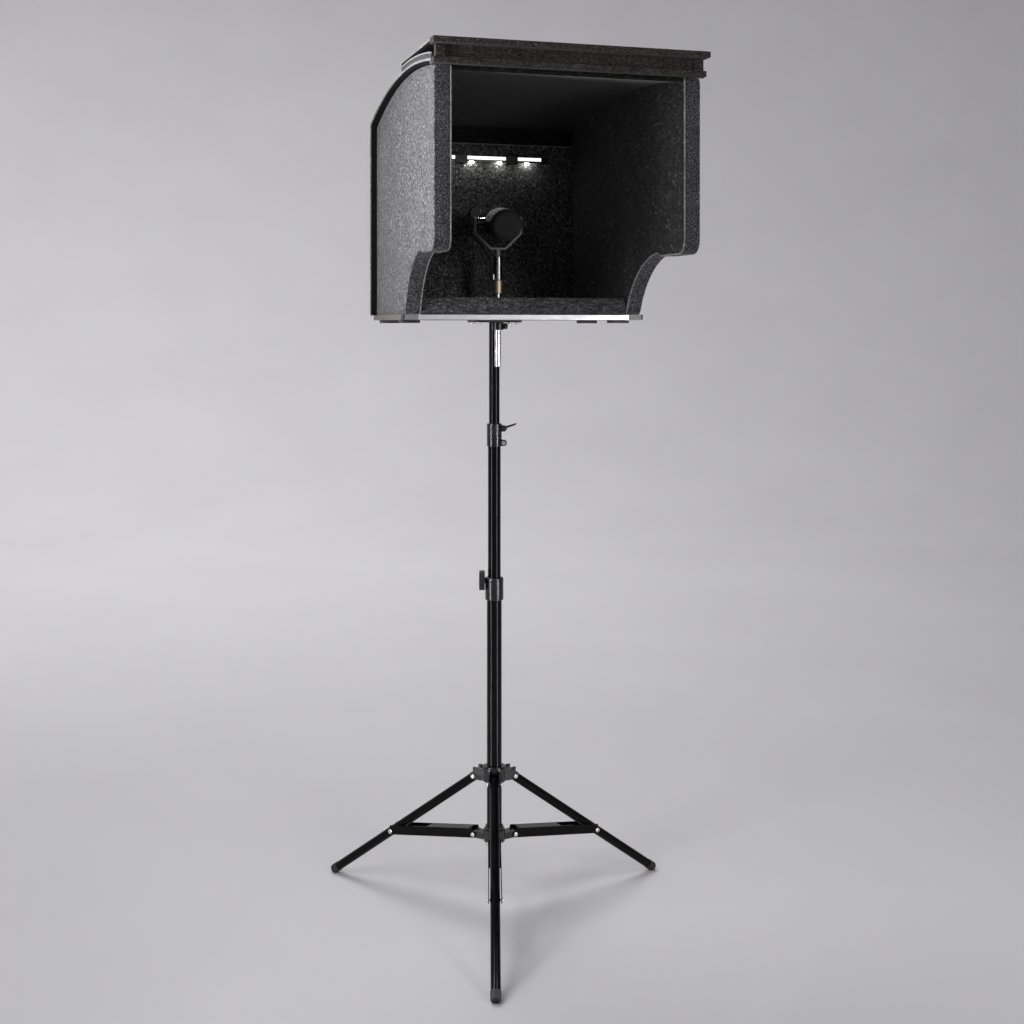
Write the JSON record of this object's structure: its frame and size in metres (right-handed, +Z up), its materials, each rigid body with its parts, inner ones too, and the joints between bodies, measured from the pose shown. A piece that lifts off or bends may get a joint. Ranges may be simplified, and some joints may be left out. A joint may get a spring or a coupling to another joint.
{
  "type": "portable vocal booth on stand",
  "caption": "Felt-lined open-front vocal booth with a curved roof, light bar and yoke-mounted microphone, on a telescoping stand with folding braced legs.",
  "frame": {"origin": "floor level under the stand's pole, on the pole's axis", "axes": "+Z up along the pole, -Y out of the booth's mouth towards the singer, +X to the right seen from the mouth's side"},
  "size_m": [0.6326, 0.7447, 1.5472],
  "materials": {
    "stand_tube": "gloss",
    "stand_fitting": "satin",
    "knob_plastic": "satin",
    "bright_steel": "satin",
    "lever_steel": "satin",
    "foot_rubber": "matte",
    "panel_felt": "matte",
    "liner_felt": "matte",
    "skin_felt": "matte",
    "rail_aluminium": "satin",
    "trim_aluminium": "polished",
    "deck_board": "matte",
    "light_metal": "satin",
    "light_glow": "gloss",
    "light_plastic": "satin",
    "mic_metal": "satin",
    "mic_mesh": "satin",
    "mic_foam": "matte",
    "stem_steel": "polished",
    "collar_brass": "polished",
    "lead_rubber": "satin"
  },
  "bodies": {
    "stand_column": {"bottom_tube": "stand_tube", "tube_end_plug": "stand_fitting", "lower_collar": "stand_fitting", "spreader": "stand_fitting", "spreader_rivets": "bright_steel"},
    "crown_slider": {"crown": "stand_fitting", "crown_rivets": "bright_steel"},
    "crown_knob": {"crown_knob": "knob_plastic"},
    "lower_knob": {"lower_knob": "knob_plastic"},
    "mid_stage": {"mid_tube": "stand_tube", "upper_collar": "stand_fitting", "collar_bolt": "bright_steel"},
    "upper_lever": {"upper_lever": "lever_steel"},
    "top_stage": {"top_tube": "stand_tube", "swivel_spigot": "bright_steel"},
    "booth": {"side_panel_left": "panel_felt", "side_panel_right": "panel_felt", "back_panel": "panel_felt", "ceiling_liner": "liner_felt", "outer_skin": "skin_felt", "roof_pad": "skin_felt", "top_flap": "skin_felt", "front_rail": "rail_aluminium", "rail_end_blocks": "knob_plastic", "floor_pad": "liner_felt", "base_deck": "deck_board", "base_trim": "trim_aluminium", "trim_end_caps": "knob_plastic", "mount_plate": "lever_steel", "mount_bolts": "bright_steel", "rod_clamp": "stand_fitting", "rubber_pads": "foot_rubber", "light_housing": "light_metal", "light_diffuser": "light_glow", "light_lenses": "light_glow", "light_clips": "light_plastic"},
    "clamp_screw": {"clamp_screw": "knob_plastic"},
    "light_button": {"light_button": "light_plastic"},
    "mic_mount": {"mic_rod": "bright_steel", "stem_adapter": "stem_steel", "brass_collar": "collar_brass", "yoke": "mic_metal", "connector_barrel": "mic_metal", "mic_lead": "lead_rubber"},
    "microphone": {"mic_body": "mic_metal", "mic_rear_cap": "mic_metal", "mic_grille": "mic_mesh", "mic_capsule": "mic_metal", "mic_foam": "mic_foam"},
    "yoke_knob_left": {"yoke_knob_left": "knob_plastic"},
    "yoke_knob_right": {"yoke_knob_right": "knob_plastic"},
    "leg_1": {"leg_1": "stand_tube", "foot_cap_1": "foot_rubber"},
    "brace_1": {"brace_1": "stand_tube"},
    "leg_2": {"leg_2": "stand_tube", "foot_cap_2": "foot_rubber"},
    "brace_2": {"brace_2": "stand_tube"},
    "leg_3": {"leg_3": "stand_tube", "foot_cap_3": "foot_rubber"},
    "brace_3": {"brace_3": "stand_tube"}
  },
  "joints": [
    {"name": "crown_slide", "type": "slide", "parent": "stand_column", "child": "crown_slider", "axis": [0, 0, 1], "range_m": [0, 0.3118]},
    {"name": "leg_1_fold", "type": "hinge", "parent": "crown_slider", "child": "leg_1", "pos_m": [-0.01056, -0.03858, 0.247], "axis": [0.9646, -0.2639, 0], "range_deg": [0, 54]},
    {"name": "brace_1_fold", "type": "hinge", "parent": "stand_column", "child": "brace_1", "pos_m": [-0.01056, -0.03858, 0.137], "axis": [-0.9646, 0.2639, 0], "range_deg": [0, 98.2]},
    {"name": "leg_2_fold", "type": "hinge", "parent": "crown_slider", "child": "leg_2", "pos_m": [0.03869, 0.01015, 0.247], "axis": [-0.2538, 0.9673, 0], "range_deg": [0, 54]},
    {"name": "brace_2_fold", "type": "hinge", "parent": "stand_column", "child": "brace_2", "pos_m": [0.03869, 0.01015, 0.137], "axis": [0.2538, -0.9673, 0], "range_deg": [0, 98.2]},
    {"name": "leg_3_fold", "type": "hinge", "parent": "crown_slider", "child": "leg_3", "pos_m": [-0.02814, 0.02843, 0.247], "axis": [-0.7108, -0.7034, 0], "range_deg": [0, 54]},
    {"name": "brace_3_fold", "type": "hinge", "parent": "stand_column", "child": "brace_3", "pos_m": [-0.02814, 0.02843, 0.137], "axis": [0.7108, 0.7034, 0], "range_deg": [0, 98.2]},
    {"name": "crown_knob_turn", "type": "hinge", "parent": "crown_slider", "child": "crown_knob", "pos_m": [0, 0, 0.262], "axis": [0.2639, 0.9646, 0], "range_deg": [0, 180]},
    {"name": "lower_knob_turn", "type": "hinge", "parent": "stand_column", "child": "lower_knob", "pos_m": [0, 0, 0.62], "axis": [-0.9593, 0.2823, 0], "range_deg": [0, 180]},
    {"name": "mid_slide", "type": "slide", "parent": "stand_column", "child": "mid_stage", "axis": [0, 0, 1], "range_m": [-0.24, 0.09]},
    {"name": "lever_swing", "type": "hinge", "parent": "mid_stage", "child": "upper_lever", "pos_m": [0.01698, -0.005, 0.9066], "axis": [-0.2823, -0.9593, 0], "range_deg": [0, 70]},
    {"name": "top_slide", "type": "slide", "parent": "mid_stage", "child": "top_stage", "axis": [0, 0, 1], "range_m": [-0.08, 0.18]},
    {"name": "booth_swivel", "type": "hinge", "parent": "top_stage", "child": "booth", "pos_m": [0, 0, 1.1], "axis": [0, 0, 1], "continuous": true},
    {"name": "clamp_screw_turn", "type": "hinge", "parent": "booth", "child": "clamp_screw", "pos_m": [0, -0.024, 1.09945], "axis": [1, 0, 0], "range_deg": [0, 180]},
    {"name": "light_button_press", "type": "slide", "parent": "booth", "child": "light_button", "axis": [0, 0, 1], "range_m": [0, 0.0015], "stiffness_N_per_m": 400},
    {"name": "rod_slide", "type": "slide", "parent": "booth", "child": "mic_mount", "axis": [0, 0, 1], "range_m": [0, 0.06]},
    {"name": "mic_tilt", "type": "hinge", "parent": "mic_mount", "child": "microphone", "pos_m": [0, -0.024, 1.294], "axis": [0.9893, -0.1461, 0], "range_deg": [-30, 30]},
    {"name": "yoke_knob_left_turn", "type": "hinge", "parent": "mic_mount", "child": "yoke_knob_left", "pos_m": [0, -0.024, 1.294], "axis": [0.9893, -0.1461, 0], "range_deg": [0, 180]},
    {"name": "yoke_knob_right_turn", "type": "hinge", "parent": "mic_mount", "child": "yoke_knob_right", "pos_m": [0, -0.024, 1.294], "axis": [0.9893, -0.1461, 0], "range_deg": [0, 180]}
  ],
  "couplings": [
    {"joint": "leg_1_fold", "follows": "crown_slide", "rad_per_m": 3.018},
    {"joint": "brace_1_fold", "follows": "crown_slide", "rad_per_m": 5.491},
    {"joint": "leg_2_fold", "follows": "crown_slide", "rad_per_m": 3.018},
    {"joint": "brace_2_fold", "follows": "crown_slide", "rad_per_m": 5.491},
    {"joint": "leg_3_fold", "follows": "crown_slide", "rad_per_m": 3.018},
    {"joint": "brace_3_fold", "follows": "crown_slide", "rad_per_m": 5.491}
  ]
}
